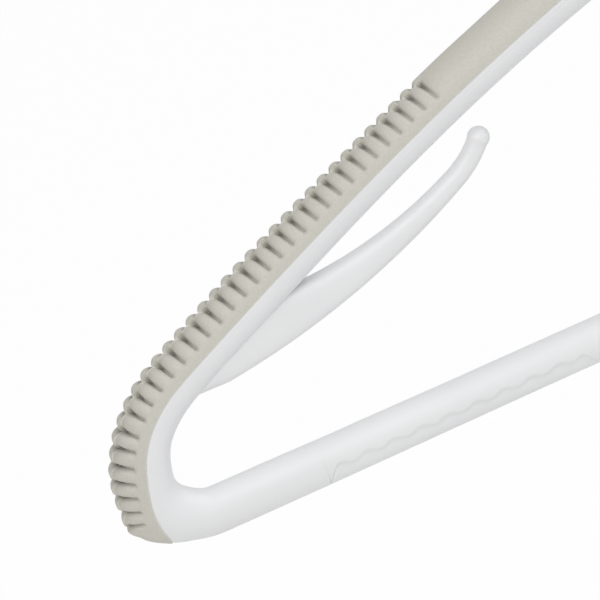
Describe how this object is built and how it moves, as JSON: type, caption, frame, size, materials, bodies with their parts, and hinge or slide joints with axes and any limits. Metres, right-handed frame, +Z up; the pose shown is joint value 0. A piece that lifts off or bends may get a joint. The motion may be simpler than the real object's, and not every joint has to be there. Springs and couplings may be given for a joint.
{
  "type": "suit hanger",
  "caption": "White moulded suit hanger with trouser bar, strap fingers, soft ribbed grey shoulder grips and a swivelling chrome wire hook.",
  "frame": {"origin": "rod seat: the inside top of the hook's bow, where the hanger rests on a clothes rail", "axes": "+Z up, +X along the hanger's width, front face towards -Y"},
  "size_m": [0.4348, 0.017, 0.2147],
  "materials": {
    "white_plastic": "satin moulded white polypropylene",
    "grey_soft": "matt warm grey soft-touch elastomer",
    "hook_chrome": "bright plated steel wire",
    "tip_vinyl": "milky soft vinyl sleeve",
    "bushing_acetal": "natural acetal",
    "zinc_steel": "zinc plated steel"
  },
  "bodies": {
    "hook": {"hook": "hook_chrome", "hook_tip_cap": "tip_vinyl", "thrust_washer": "zinc_steel", "lock_nut": "zinc_steel"},
    "hanger": {"hub": "white_plastic", "arm_left": "white_plastic", "arm_right": "white_plastic", "arm_tip_left": "white_plastic", "arm_tip_right": "white_plastic", "trouser_bar": "white_plastic", "strap_finger_left": "white_plastic", "strap_finger_right": "white_plastic", "shoulder_grip_left": "grey_soft", "shoulder_grip_right": "grey_soft", "neck_bushing": "bushing_acetal"}
  },
  "joints": [
    {"name": "hook_swivel", "type": "hinge", "parent": "hook", "child": "hanger", "pos_m": [0, 0, -0.088], "axis": [0, 0, 1], "continuous": true}
  ]
}
